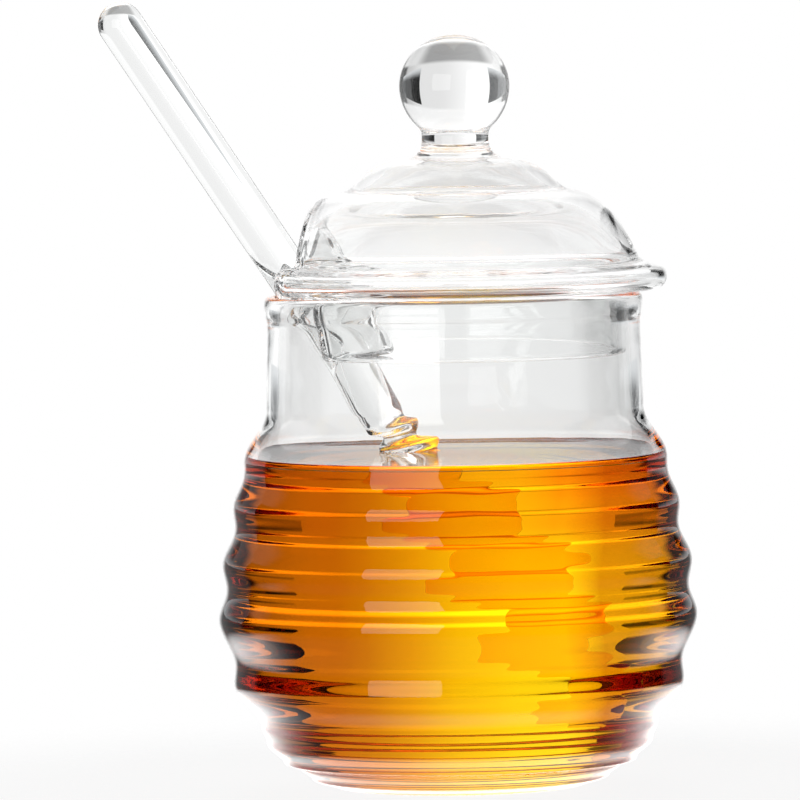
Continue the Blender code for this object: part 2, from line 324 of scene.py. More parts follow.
def outline_object(name, points, skins, threads, windings):
    mesh = bpy.data.meshes.new(name)
    edges = [(i, i + 1) for i in range(len(points) - 1)]
    mesh.from_pydata([(r, 0.0, z) for r, z in points], edges, [])
    for attribute, numbers in (("skin", skins), ("thread", threads), ("winding", windings)):
        layer = mesh.attributes.new(attribute, "FLOAT", "POINT")
        if numbers:
            layer.data.foreach_set("value", numbers)
    maker = bpy.data.objects.new(name, mesh)
    bpy.context.scene.collection.objects.link(maker)
    return maker


def face_outwards(mesh):
    """Turns the faces outwards, and returns how many edges are open."""
    bm = bmesh.new()
    bm.from_mesh(mesh)
    bmesh.ops.recalc_face_normals(bm, faces=bm.faces)
    open_edges = sum(1 for edge in bm.edges if len(edge.link_faces) != 2)
    bm.to_mesh(mesh)
    bm.free()
    return open_edges


def turn(name, points, sides, material, skins=None, threads=None, windings=None):
    maker = outline_object(name + "_outline", points, skins, threads, windings)
    tree = lathe_tree(material)
    keys = {item.name: item.identifier for item in tree.interface.items_tree if item.in_out == "INPUT"}
    modifier = maker.modifiers.new("lathe", "NODES")
    modifier.node_group = tree
    modifier[keys["Sides"]] = sides
    modifier[keys["Merge Distance"]] = MERGE_DISTANCE
    graph = bpy.context.evaluated_depsgraph_get()
    turned = bpy.data.meshes.new_from_object(maker.evaluated_get(graph), depsgraph=graph)
    bpy.data.objects.remove(maker, do_unlink=True)
    turned.name = name
    open_edges = face_outwards(turned)
    piece = bpy.data.objects.new(name, turned)
    bpy.context.scene.collection.objects.link(piece)
    print(name, len(turned.polygons), "faces,", open_edges, "open edges")
    return piece


# %% [markdown]
# ## Clear glass
# Borosilicate glass is colourless, so the finish is all in how it bends light: an index of 1.47 and no
# roughness. Hot-worked glass is never quite even. A broad noise, drawn out upwards, and a fine one go through
# a Bump node and leave the soft streaks that the real wall shows. They also mix in a trace of green.
# Empty glass looks a little greyer than the white behind it. A painted grey shade that sets in with height
# does that, and differs for jar, lid and rod.

# %% Mix the glass
GLASS_INDEX = 1.47
DRAWN_UPWARDS = (1.0, 1.0, 0.12)
FINE_SCALE = 3.0
FINE_HEIGHT = 0.25


def glass_finish(name, streak, ripple, tint, painted_shade):
    """The last argument is a painted grey shade: the height where it starts, the height where it is full, and
    how light it leaves the glass.
    """
    shade_start, shade_full, shade_light = painted_shade
    finish, bench = new_finish(name)
    spot = bench.add("ShaderNodeTexCoord", out="Object")
    drawn = bench.add("ShaderNodeMapping", None, {"Vector": spot, "Scale": DRAWN_UPWARDS})
    broad = bench.add("ShaderNodeTexNoise", None, {"Vector": drawn, "Scale": streak, "Detail": 1.0})
    fine = bench.add("ShaderNodeTexNoise", None, {
        "Vector": spot, "Scale": streak * FINE_SCALE, "Detail": 0.0,
    })
    bump = bench.add("ShaderNodeBump", None, {
        "Height": broad + fine * FINE_HEIGHT, "Strength": 1.0, "Distance": ripple,
    })
    streaky = mixed(bench, broad, WHITE, (*tint, 1.0))
    height = part_of(bench, spot, "Z")
    # Painted shade: the glass colour is darkened towards black as it rises.
    painted_grey = slide(bench, height, shade_start, shade_full, 0.0, 1.0 - shade_light)
    shader = bench.add("ShaderNodeBsdfPrincipled", None, {
        "Base Color": mixed(bench, painted_grey, streaky, BLACK), "Roughness": 0.0, "IOR": GLASS_INDEX,
        "Transmission Weight": 1.0, "Normal": bump,
    })
    bench.add("ShaderNodeOutputMaterial", None, {"Surface": shader})
    return finish


# %% Three glasses
# Painted grey shade of each glass: where it starts, where it is full, and how light it leaves the glass.
JAR_PAINTED_SHADE = (56.0 * MM, 62.0 * MM, 0.925)
LID_PAINTED_SHADE = (94.0 * MM, 112.0 * MM, 0.84)
DIPPER_PAINTED_SHADE = (60.0 * MM, 80.0 * MM, 0.96)
JAR_TINT = (0.985, 0.992, 0.988)
LID_TINT = (0.985, 0.992, 0.99)
DIPPER_TINT = (0.98, 0.99, 0.985)
jar_glass = glass_finish("jar_glass", streak=70.0, ripple=0.04 * MM, tint=JAR_TINT, painted_shade=JAR_PAINTED_SHADE)
lid_glass = glass_finish("lid_glass", streak=80.0, ripple=0.05 * MM, tint=LID_TINT, painted_shade=LID_PAINTED_SHADE)
dipper_glass = glass_finish(
    "dipper_glass", streak=90.0, ripple=0.02 * MM, tint=DIPPER_TINT, painted_shade=DIPPER_PAINTED_SHADE,
)
print("glasses:", jar_glass.name, lid_glass.name, dipper_glass.name)

# %% [markdown]
# ## Where honey wets glass
# Honey bends light almost as glass does, so a wall all but vanishes where honey touches it. A renderer works
# out each surface alone, as if air lay on its other side. So the wetted skin of the glass lets light pass
# unbent, and the honey's own skin there carries the small step from glass to honey. A faint haze, clean in
# one place and yellowish in the next, keeps the wetted skin from being perfect.

# %% Mix the wetted skin
WET_HAZE = (0.99, 0.99, 0.98, 1.0)
WET_HAZE_SCALE = 50.0


def wetted_finish(name):
    finish, bench = new_finish(name)
    spot = bench.add("ShaderNodeTexCoord", out="Object")
    haze = bench.add("ShaderNodeTexNoise", None, {"Vector": spot, "Scale": WET_HAZE_SCALE, "Detail": 1.0})
    clean = bench.add("ShaderNodeBsdfTransparent", None, {0: WHITE})
    hazy = bench.add("ShaderNodeBsdfTransparent", None, {0: WET_HAZE})
    passing = bench.add("ShaderNodeMixShader", None, {0: haze, 1: clean, 2: hazy})
    bench.add("ShaderNodeOutputMaterial", None, {"Surface": passing})
    return finish


wet_glass = wetted_finish("wet_glass")
print("wetted skin:", wet_glass.name)

# %% [markdown]
# ## Honey
# Honey is a clear liquid that swallows blue light within a few millimetres and green light within a few
# centimetres. Volume Absorption does exactly that, and gives the middle of the jar its gold. Towards the
# sides and the top the honey in the photograph goes on to a deep amber, more than absorption alone gives in
# this studio. So the honey's skin against the glass carries painted shade: a ramp that darkens both sides,
# times a painted shade that sets in with height, and less on the left, where the ramp is deep already.

# %% The honey's sizes and tones
HONEY_LEVEL = 57.8 * MM
HONEY_ABSORPTION = 75.0
HONEY_COLOUR = (0.995, 0.915, 0.0)
HONEY_INDEX = 1.48
HONEY_SAG = 0.03 * MM
HONEY_SWIRL_SCALE = 60.0
HONEY_HALF_WIDTH = 42.0 * MM
HONEY_MIDDLE = 0.47
HONEY_WANDER = 0.06
# Painted shade across the honey, from left to right: darker at both sides, the left most.
PAINTED_SHADE_ACROSS = (
    (0.0, (0.46, 0.12, 0.12)), (0.26, (0.46, 0.12, 0.15)), (0.31, (0.55, 0.19, 0.2)),
    (0.4, (0.85, 0.45, 0.4)), (0.5, (0.98, 0.8, 0.75)), (0.62, (1.0, 1.0, 1.0)), (0.72, (1.0, 0.95, 1.0)),
    (0.76, (0.75, 0.5, 0.5)), (0.8, (0.42, 0.17, 0.15)), (1.0, (0.48, 0.18, 0.15)),
)
SHADE_HEIGHTS = (36.0 * MM, 53.0 * MM)
SHADE_TONE = (0.8, 0.2, 0.15)
SHADE_PLACES = (0.55, 0.7)
SHADE_ON_LEFT = 0.4
HONEY_PATH = 80.0 * MM
green_left = exp(-HONEY_PATH * HONEY_ABSORPTION * (1 - HONEY_COLOUR[1]))
print("green light left after", round(HONEY_PATH / MM), "mm of honey:", round(green_left, 2))


# %% Mix the honey
def painted_shade_tone(bench, spot, swirl):
    across = part_of(bench, spot, "X") / (2 * HONEY_HALF_WIDTH) + HONEY_MIDDLE + swirl * HONEY_WANDER
    # Painted shade: the ramp darkens both sides of the honey.
    painted_side_shade = bench.add("ShaderNodeValToRGB", {"stops": PAINTED_SHADE_ACROSS}, {0: across})
    high = slide(bench, part_of(bench, spot, "Z"), *SHADE_HEIGHTS, 0.0, 1.0)
    to_right = slide(bench, across, *SHADE_PLACES, SHADE_ON_LEFT, 1.0)
    # Painted shade: darker towards the top, less on the left.
    painted_high_shade = mixed(bench, high * to_right, WHITE, (*SHADE_TONE, 1.0))
    return mixed(bench, 1.0, painted_side_shade, painted_high_shade, "MULTIPLY")


def honey_mix(name, index, plain_tone=None):
    """The skin against the jar has no plain tone, and takes the painted shade tone."""
    finish, bench = new_finish(name)
    spot = bench.add("ShaderNodeTexCoord", out="Object")
    swirl = bench.add("ShaderNodeTexNoise", None, {
        "Vector": spot, "Scale": HONEY_SWIRL_SCALE, "Detail": 1.0,
    })
    sag = bench.add("ShaderNodeBump", None, {"Height": swirl, "Strength": 1.0, "Distance": HONEY_SAG})
    surface = bench.add("ShaderNodeBsdfPrincipled", None, {
        "Base Color": plain_tone or painted_shade_tone(bench, spot, swirl), "Roughness": 0.0, "IOR": index,
        "Transmission Weight": 1.0, "Normal": sag,
    })
    swallowed = {"Color": (*HONEY_COLOUR, 1.0), "Density": HONEY_ABSORPTION}
    depth = bench.add("ShaderNodeVolumeAbsorption", None, swallowed)
    bench.add("ShaderNodeOutputMaterial", None, {"Surface": surface, "Volume": depth})
    return finish


# %% [markdown]
# The same liquid gets three skins. Against the jar it carries the painted shade. Round the dipper it is
# nearly clear. The free top is painted almost black, a painted shade that lets almost nothing through and
# mostly mirrors, because the real one shows the wall behind it, and not the table under the jar.

# %% Three skins of honey
# Painted shade: the free top of the honey is painted almost black.
PAINTED_DARK_TOP = (0.03, 0.03, 0.03, 1.0)
DIPPER_TONE = (1.0, 0.95, 0.5, 1.0)
honey_top = honey_mix("honey", HONEY_INDEX, PAINTED_DARK_TOP)
honey_side = honey_mix("honey_at_glass", HONEY_INDEX / GLASS_INDEX)
honey_dip = honey_mix("honey_at_dipper", HONEY_INDEX / GLASS_INDEX, DIPPER_TONE)
print("step from glass to honey:", round(HONEY_INDEX / GLASS_INDEX, 4))

# %% [markdown]
# ## The jar
# The wall is about two millimetres thick. Seven ribs of different width step down the outside, wide ones in
# the middle and tight ones at the foot. The inside follows the upper five ribs, a little softer, and is one
# smooth bowl below. The rim ends in a fire-polished bead. Each rib is given as its crest's radius and height,
# and then those of the waist below it.

# %% The jar's sizes
BODY_WALL = 2.0 * MM
RIB_SOFTENING = 0.2 * MM
BASE_THICKNESS = 3.2 * MM
FOOT_RADIUS = 22.0 * MM
NECK_RADIUS = 33.1 * MM
NECK_FOOT_RADIUS = 33.5 * MM
NECK_FOOT_HEIGHT = 66.9 * MM
NECK_WALL = 1.9 * MM
RIM_HEIGHT = 87.4 * MM
RIM_BEAD_RADIUS = 33.6 * MM
RIM_BEAD_DROP = 3.6 * MM
RIM_BEAD_FLANK = 0.8 * MM
RIM_BEAD_STEP = 0.35 * MM
RIBS = (
    (37.6 * MM, 58.3 * MM, 37.6 * MM, 56.4 * MM),
    (39.7 * MM, 49.7 * MM, 39.4 * MM, 46.4 * MM),
    (41.75 * MM, 39.7 * MM, 41.1 * MM, 35.4 * MM),
    (42.55 * MM, 30.1 * MM, 39.75 * MM, 21.9 * MM),
    (40.0 * MM, 18.6 * MM, 35.2 * MM, 11.0 * MM),
    (34.25 * MM, 8.05 * MM, 31.3 * MM, 4.5 * MM),
    (28.6 * MM, 3.7 * MM, 26.4 * MM, 1.6 * MM),
)
INSIDE_RIBS = 5
BOWL_FLAT_RADIUS = 18.0 * MM
OUTLINE_STEP = 0.55 * MM
JAR_SIDES = 192
STROKE_STEPS = 14
SOFTENING_PASSES = 2
widest = 2 * max(crest_r for crest_r, _, _, _ in RIBS)
print("the jar is", round(RIM_HEIGHT / MM, 1), "mm tall and", round(widest / MM, 1), "mm wide")


# %% The jar's outlines
def jar_outside():
    last = (NECK_FOOT_RADIUS, NECK_FOOT_HEIGHT)
    down = ramp((NECK_RADIUS, RIM_HEIGHT - RIM_BEAD_DROP - RIM_BEAD_FLANK), last, STROKE_STEPS)
    for crest_r, crest_z, waist_r, waist_z in RIBS:
        down += ramp(last, (crest_r, crest_z), STROKE_STEPS)
        down += ramp((crest_r, crest_z), (waist_r, waist_z), STROKE_STEPS)
        last = (waist_r, waist_z)
    down += ramp(last, (FOOT_RADIUS, 0.0), STROKE_STEPS)
    down.append((FOOT_RADIUS, 0.0))
    return down[::-1]


def jar_inside(inset):
    down = []
    last = (NECK_FOOT_RADIUS - NECK_WALL - inset, NECK_FOOT_HEIGHT)
    for crest_r, crest_z, waist_r, waist_z in RIBS[:INSIDE_RIBS]:
        crest = (crest_r - BODY_WALL - RIB_SOFTENING - inset, crest_z)
        waist = (waist_r - BODY_WALL + RIB_SOFTENING - inset, waist_z)
        down += ramp(last, crest, STROKE_STEPS)
        down += ramp(crest, waist, STROKE_STEPS)
        last = waist
    reach = last[0] - BOWL_FLAT_RADIUS
    drop = last[1] - BASE_THICKNESS - inset
    down += arc((BOWL_FLAT_RADIUS, last[1]), (reach, drop), 0, -90, 2 * STROKE_STEPS)
    down.append((0.0, BASE_THICKNESS + inset))
    return down


# %% Turn the jar
mouth = NECK_RADIUS - NECK_WALL
bead_half = (RIM_BEAD_RADIUS - mouth) / 2
bead_foot = RIM_HEIGHT - RIM_BEAD_DROP
jar_line = [(0.0, 0.0)] + jar_outside()
jar_line += [(NECK_RADIUS + RIM_BEAD_STEP, bead_foot), (RIM_BEAD_RADIUS, bead_foot + RIM_BEAD_FLANK)]
jar_line += arc((mouth + bead_half, RIM_HEIGHT - bead_half), (bead_half, bead_half), 0, 180, STROKE_STEPS)
jar_outer = smoothed(evened(jar_line, OUTLINE_STEP), SOFTENING_PASSES)
jar_inner = smoothed(evened(jar_inside(0.0), OUTLINE_STEP), SOFTENING_PASSES)
jar_skins = [0.0] * len(jar_outer) + [1.0] * len(jar_inner)
jar = turn("jar_body", jar_outer + jar_inner, JAR_SIDES, jar_glass, skins=jar_skins)

# %% [markdown]
# ## The lid
# One outline makes knob, neck, crown, dome, the folded flange with its slot, and the collar that drops into
# the neck. While the glass was hot, a tool pressed one side in to let the dipper out. Each point of the
# lathe's mesh carries how deep in the wall it lies, so both skins move alike and the wall keeps its width.

# %% The lid's sizes
GAP = 0.3 * MM
LID_WALL = 1.6 * MM
LID_SHIFT = 0.8 * MM
KNOB_RADIUS = 9.85 * MM
KNOB_TOP_REACH = 9.15 * MM
KNOB_HEIGHT = 124.2 * MM
KNOB_NECK_RADIUS = 5.95 * MM
KNOB_NECK_FOOT = 113.4 * MM
KNOB_NECK_LENGTH = 1.4 * MM
KNOB_FLARE = (0.5 * MM, 2.4 * MM)
KNOB_SOFTENING_PASSES = 3
CROWN_TOP = 111.5 * MM
CROWN_CURVE = ((12.6 * MM, 111.5 * MM), (15.4 * MM, 109.9 * MM), (18.7 * MM, 106.3 * MM))
CROWN_HOLLOW_DROP = 0.4 * MM
DOME_START = (19.6 * MM, 105.8 * MM)
DOME_SHOULDER = (24.9 * MM, 105.5 * MM)
DOME_SIDE = (28.6 * MM, 101.8 * MM)
DOME_FOOT = (31.9 * MM, 94.3 * MM)
DOME_FLARE = (32.7 * MM, 0.1 * MM)
FLANGE_RADIUS = 37.4 * MM
FLANGE_THICKNESS = 5.0 * MM
FLANGE_SLOT = 2.0 * MM
COLLAR_RADIUS = 29.9 * MM
COLLAR_FOOT = 76.3 * MM
COLLAR_FILLET = (0.5 * MM, 0.6 * MM)
SLOT_FILLET = (0.6 * MM, 0.5 * MM)
SLOT_END = 1.5 * MM
SLOT_RISE = ((-1.5 * MM, 0.6 * MM), (-1.75 * MM, 1.1 * MM))
LID_SIDES = 288
lid_height = KNOB_HEIGHT + KNOB_TOP_REACH - COLLAR_FOOT
print("the lid is", round(lid_height / MM, 1), "mm tall and", round(2 * FLANGE_RADIUS / MM, 1), "mm wide")


# %% The lid's knob and dome
def knob_outline():
    neck_turn = -degrees(acos(KNOB_NECK_RADIUS / KNOB_RADIUS))
    ball = arc((0.0, KNOB_HEIGHT), (KNOB_RADIUS, KNOB_TOP_REACH), 90, 0, 2 * STROKE_STEPS)
    ball += arc((0.0, KNOB_HEIGHT), (KNOB_RADIUS, KNOB_RADIUS), 0, neck_turn, STROKE_STEPS)
    start = (KNOB_NECK_RADIUS, KNOB_NECK_FOOT + KNOB_NECK_LENGTH)
    under = (KNOB_NECK_RADIUS, KNOB_NECK_FOOT)
    midway = (KNOB_NECK_RADIUS + KNOB_FLARE[0], CROWN_TOP + KNOB_FLARE[0])
    end = (KNOB_NECK_RADIUS + KNOB_FLARE[1], CROWN_TOP)
    soft_ball = smoothed(evened(ball, OUTLINE_STEP), KNOB_SOFTENING_PASSES)
    return soft_ball + bezier(start, under, midway, end, STROKE_STEPS)


def dome_outline(inset):
    crown_start = (KNOB_NECK_RADIUS + KNOB_FLARE[1], CROWN_TOP - inset)
    crown = bezier(crown_start, *((r - inset, z - inset) for r, z in CROWN_CURVE), STROKE_STEPS)
    start = (DOME_START[0] - inset, DOME_START[1] - inset)
    shoulder = (DOME_SHOULDER[0] - inset, DOME_SHOULDER[1] - inset)
    side = (DOME_SIDE[0] - inset, DOME_SIDE[1] - inset)
    foot = (DOME_FOOT[0] - inset, DOME_FOOT[1])
    return crown + bezier(start, shoulder, side, foot, 2 * STROKE_STEPS)


# %% The lid's outer, lower and inner lines
flange_half = FLANGE_THICKNESS / 2
flange_mid = RIM_HEIGHT + GAP + flange_half
flange_edge = (FLANGE_RADIUS - flange_half, flange_mid)
slot_half = FLANGE_SLOT / 2
slot_end = (FLANGE_RADIUS - SLOT_END - slot_half, flange_mid)
lip = LID_WALL / 2
collar_inside = COLLAR_RADIUS - LID_WALL
outer_line = knob_outline() + dome_outline(0.0)
outer_line.append((DOME_FLARE[0], flange_mid + flange_half + DOME_FLARE[1]))
outer_line += arc(flange_edge, (flange_half, flange_half), 90, -90, STROKE_STEPS)
outer_line.append((COLLAR_RADIUS + COLLAR_FILLET[0], flange_mid - flange_half))
outer_line.append((COLLAR_RADIUS, flange_mid - flange_half - COLLAR_FILLET[1]))
outer_line.append((COLLAR_RADIUS, COLLAR_FOOT + lip))
lip_line = arc((COLLAR_RADIUS - lip, COLLAR_FOOT + lip), (lip, lip), 0, -180, STROKE_STEPS)
inner_line = [(collar_inside, COLLAR_FOOT + lip), (collar_inside, flange_mid - slot_half - SLOT_FILLET[1])]
inner_line.append((collar_inside + SLOT_FILLET[0], flange_mid - slot_half))
inner_line += arc(slot_end, (slot_half, slot_half), -90, 90, STROKE_STEPS)
inner_line += [(DOME_FLARE[0] + r, flange_mid + slot_half + z) for r, z in SLOT_RISE]
inner_line += dome_outline(LID_WALL)[::-1]
inner_line.append((0.0, CROWN_TOP - LID_WALL - CROWN_HOLLOW_DROP))
print("the lid's outline has", len(outer_line) + len(lip_line) + len(inner_line), "rough points")

# %% Turn the lid
outer_line = smoothed(evened(outer_line, OUTLINE_STEP), SOFTENING_PASSES)
inner_line = smoothed(evened(inner_line, OUTLINE_STEP), SOFTENING_PASSES)
lip_inner = lip_line[1:-1]
lid_line = outer_line + lip_inner + inner_line
lip_skins = [LID_WALL * (i + 1) / (len(lip_inner) + 1) for i in range(len(lip_inner))]
lid_skins = [0.0] * len(outer_line) + lip_skins + [LID_WALL] * len(inner_line)
lid = turn("lid_dome", lid_line, LID_SIDES, lid_glass, skins=lid_skins)

# %% [markdown]
# The press is a rule on x: where the tool's trough reaches further in than the wall, the wall takes the
# trough's place, with a soft blend at the trough's edge. The trough is round at its floor. It leans with the
# dipper above the flange, and less steeply below it. The flange bulges out of the collar, and keeps part of
# that bulge. The whole lid sits a little to one side, as it does in the photograph.

# %% Press the spout
DIPPER_LEAN = radians(33.0)
SPOUT_DEPTH_X = -17.6 * MM
SPOUT_FLANK_SLOPE = 0.85
SPOUT_FLOOR_ROUND = 5.0 * MM
SPOUT_EDGE_ROUND = 2.4 * MM
SPOUT_EDGE_LIFT = 0.25
COLLAR_FLOOR_SLOPE = 0.35
FLOOR_BEND = 1.5 * MM
KEPT_BULGE = 0.45


def soft_top(a, b, width):
    """The larger of two numbers, and a little more where they are about the same."""
    near = max(0.0, 1 - abs(a - b) / width)
    return max(a, b) + near * near * width * SPOUT_EDGE_LIFT


def spout_floor(height):
    up = height - flange_mid
    above = tan(DIPPER_LEAN)
    bend = sqrt(up * up + FLOOR_BEND * FLOOR_BEND)
    return SPOUT_DEPTH_X - (above + COLLAR_FLOOR_SLOPE) / 2 * up - (above - COLLAR_FLOOR_SLOPE) / 2 * bend


def press_spout(piece):
    skins = piece.data.attributes["skin"].data
    pressed_points = 0
    for vertex, skin in zip(piece.data.vertices, skins):
        x, y, z = vertex.co
        bulge = max(0.0, sqrt(x * x + y * y) + skin.value - COLLAR_RADIUS)
        flank = SPOUT_FLANK_SLOPE * (sqrt(y * y + SPOUT_FLOOR_ROUND ** 2) - SPOUT_FLOOR_ROUND)
        pressed = spout_floor(z) - flank - KEPT_BULGE * bulge + skin.value
        if z < KNOB_NECK_FOOT:
            vertex.co.x = soft_top(x, pressed, SPOUT_EDGE_ROUND)
            pressed_points += pressed > x
        vertex.co.x += LID_SHIFT
    piece.data.update()
    print(pressed_points, "points of", piece.name, "pressed in")


press_spout(lid)

# %% [markdown]
# ## The dipper
# A solid rod, thinner towards its head, with a round tip. The head is a spiral: the same lathe, with a
# thread depth on each outline point and a winding angle that grows by a full turn every 5.5 mm.

# %% The dipper's sizes
ROD_RADIUS = 4.05 * MM
ROD_END_RADIUS = 3.9 * MM
HANDLE_REACH = 55.7 * MM
HEAD_START = 81.5 * MM
HEAD_LENGTH = 68.5 * MM
HEAD_FIRST_RADIUS = 4.2 * MM
HEAD_RADIUS = 8.0 * MM
HEAD_END_RADIUS = 3.6 * MM
HEAD_END_ROUND = 1.0 * MM
HEAD_FULLNESS = 1.3
THREAD_PITCH = 5.5 * MM
THREAD_DEPTH = 2.3 * MM
THREAD_RUN_OUT = 0.3
DIPPER_SIDES = 96
HEAD_STEPS = 230
ROD_STEPS = 90
TIP_STEPS = 12
dipper_length = ROD_RADIUS + HEAD_START + HEAD_LENGTH + HEAD_END_RADIUS - HEAD_END_ROUND
print("the dipper is", round(dipper_length / MM, 1), "mm long")


# %% The rod and its round tip
def rod_rows(grow):
    """Radius, place down the axis, thread depth and winding angle of each row, from the tip down."""
    rows = [(0.0, ROD_RADIUS + grow, 0.0, 0.0)]
    for i in range(1, TIP_STEPS):
        angle = pi / 2 * i / TIP_STEPS
        rows.append(((ROD_RADIUS + grow) * sin(angle), (ROD_RADIUS + grow) * cos(angle), 0.0, 0.0))
    for i in range(ROD_STEPS):
        share = i / ROD_STEPS
        radius = ROD_RADIUS + (ROD_END_RADIUS - ROD_RADIUS) * share ** 2 + grow
        rows.append((radius, -share * HEAD_START, 0.0, 0.0))
    return rows


# %% The spiral head
def head_rows(grow):
    rows = []
    for i in range(HEAD_STEPS + 1):
        share = i / HEAD_STEPS
        along = HEAD_LENGTH * i / HEAD_STEPS
        swell = sin(pi * share) ** HEAD_FULLNESS
        ends = HEAD_FIRST_RADIUS + (HEAD_END_RADIUS - HEAD_FIRST_RADIUS) * share
        crest = ends + (HEAD_RADIUS - ends) * swell
        begun = min(1.0, along / THREAD_PITCH)
        blend = begun * begun * (3 - 2 * begun)
        radius = ROD_END_RADIUS + (crest - ROD_END_RADIUS) * blend + grow
        winding = 2 * pi * along / THREAD_PITCH
        rows.append((radius, -(HEAD_START + along), THREAD_DEPTH * begun * blend, winding))
    end = HEAD_END_RADIUS - HEAD_END_ROUND + grow
    _, last_place, last_thread, last_winding = rows[-1]
    for i in range(1, TIP_STEPS + 1):
        angle = pi / 2 * i / TIP_STEPS
        left = 1 - i / TIP_STEPS
        radius = end * cos(angle) if left else 0.0
        thread = last_thread * left * THREAD_RUN_OUT
        rows.append((radius, last_place - end * sin(angle), thread, last_winding))
    return rows


# %% [markdown]
# The rod rests on the jar's rim. Its tip's centre is worked out from that: from the middle of the rim's
# bead out across the rod, and then up along it.

# %% Turn the dipper and lean it on the rim
def tip_centre():
    edge = Vector((-(mouth + bead_half), 0.0, RIM_HEIGHT - bead_half))
    up_the_rod = Vector((-sin(DIPPER_LEAN), 0.0, cos(DIPPER_LEAN)))
    across = Vector((cos(DIPPER_LEAN), 0.0, sin(DIPPER_LEAN)))
    return edge + across * (bead_half + ROD_RADIUS + GAP) + up_the_rod * HANDLE_REACH


def make_dipper(name, grow, material):
    rows = rod_rows(grow) + head_rows(grow)
    piece = turn(
        name, [(row[0], row[1]) for row in rows], DIPPER_SIDES, material,
        threads=[row[2] for row in rows], windings=[row[3] for row in rows],
    )
    centre = tip_centre()
    for vertex in piece.data.vertices:
        x, y, z = vertex.co
        vertex.co = (
            centre.x + x * cos(DIPPER_LEAN) - z * sin(DIPPER_LEAN),
            y,
            centre.z + x * sin(DIPPER_LEAN) + z * cos(DIPPER_LEAN),
        )
    piece.data.update()
    return piece


dipper = make_dipper("dipper_rod", 0.0, dipper_glass)

# %% [markdown]
# ## The honey's body
# Liquid in glass has no gap to the wall, and two surfaces in exactly the same place flicker. So the honey
# reaches a tenth of a millimetre into the wall. Its top climbs the glass a little, as every liquid does,
# and the dipper's shape, slightly thinner, is cut out of it.

# %% Turn the honey
INTO_GLASS = 0.12 * MM
MENISCUS_HEIGHT = 0.9 * MM
MENISCUS_WIDTH = 1.6 * MM
TOP_STEPS = 40
side_line = [p for p in jar_inside(-INTO_GLASS) if p[1] < HONEY_LEVEL + MENISCUS_HEIGHT]
brim = side_line[0][0]
top_line = []
for i in range(TOP_STEPS):
    radius = brim * sin(pi / 2 * i / TOP_STEPS)
    climb = MENISCUS_HEIGHT * exp((radius - brim) / MENISCUS_WIDTH)
    top_line.append((radius, HONEY_LEVEL + climb))
honey_line = top_line + [(brim, HONEY_LEVEL + MENISCUS_HEIGHT)] + side_line
honey = turn("honey_fill", evened(honey_line, OUTLINE_STEP), JAR_SIDES, honey_top)

# %% Cut the dipper out of the honey
SHARP_ANGLE = radians(35)
cutter = make_dipper("dipper_space", -INTO_GLASS, honey_top)
cut = honey.modifiers.new("dipper_cut", "BOOLEAN")
cut.operation = "DIFFERENCE"
cut.solver = "MANIFOLD"
cut.object = cutter
graph = bpy.context.evaluated_depsgraph_get()
cut_mesh = bpy.data.meshes.new_from_object(honey.evaluated_get(graph), depsgraph=graph)
honey.modifiers.remove(cut)
honey.data = cut_mesh
bpy.data.objects.remove(cutter, do_unlink=True)
cut_mesh.shade_smooth()
cut_mesh.set_sharp_from_angle(angle=SHARP_ANGLE)
print("honey with the dipper cut out:", len(cut_mesh.polygons), "faces")

# %% [markdown]
# Each face now learns what it touches. On the jar and the dipper, what lies below the honey's top gets the
# wetted skin. On the honey, only the level top stays free, and the faces that look at the dipper's axis from
# close by belong to the hole that it leaves.

# %% Tell the wetted faces from the free ones
WET_LEVEL = HONEY_LEVEL + MENISCUS_HEIGHT
INNER_SKIN = 0.5
LEVEL_ENOUGH = 0.2
TOP_ALLOWANCE = 0.1 * MM


def wet(piece, material, is_wet):
    piece.data.materials.append(material)
    slot = len(piece.data.materials) - 1
    count = 0
    for face in piece.data.polygons:
        if is_wet(face):
            face.material_index = slot
            count += 1
    print(piece.name, count, "wetted faces")


def inside_wet_jar(face):
    skin = jar.data.attributes["skin"].data[face.vertices[0]].value
    return face.center.z < WET_LEVEL and skin > INNER_SKIN


def touches_glass(face):
    is_free = face.normal.z > LEVEL_ENOUGH and face.center.z > HONEY_LEVEL - TOP_ALLOWANCE
    return not is_free


def touches_dipper(face):
    down = Vector((sin(DIPPER_LEAN), 0.0, -cos(DIPPER_LEAN)))
    offset = face.center - tip_centre()
    to_axis = down * offset.dot(down) - offset
    is_near = to_axis.length < HEAD_RADIUS + INTO_GLASS
    return touches_glass(face) and is_near and to_axis.dot(face.normal) > 0


wet(jar, wet_glass, inside_wet_jar)
wet(dipper, wet_glass, lambda face: face.center.z < HONEY_LEVEL)
wet(honey, honey_side, touches_glass)
wet(honey, honey_dip, touches_dipper)

# %% [markdown]
# ## The studio
# Clear glass is lit from behind. The studio is painted in the world by direction, so that it is there for
# every bent and mirrored ray. The camera alone sees plain white. Degrees are counted from the middle of the
# backdrop, azimuth to the right and elevation upwards, so the first cell turns a ray's direction into those
# two angles.

# %% Read a ray's direction as two angles
world = bpy.data.worlds.new("studio")
world.use_nodes = True
world.node_tree.nodes.clear()
bpy.context.scene.world = world
studio = Bench(world.node_tree)
direction = studio.add("ShaderNodeTexCoord", out="Generated")
east = part_of(studio, direction, "X")
north = part_of(studio, direction, "Y")
rise = part_of(studio, direction, "Z")
azimuth = east.maths("ARCTAN2", east, north) * (180 / pi)
elevation = rise.maths("ARCSINE", rise) * (180 / pi)
aside = azimuth.maths("ABSOLUTE", azimuth)


def past(value, edge, softness):
    """0 below the edge and 1 above it, with a soft step between."""
    return soft_slide(studio, value, edge - softness / 2, edge + softness / 2, 0.0, 1.0)


print("angles read with", len(world.node_tree.nodes), "nodes")

# %% [markdown]
# Edges divide the studio: the table below, the ceiling above, and the level band between them, where the
# backdrop hangs and the room in front is dark. Each edge is an angle and the width of its soft step.

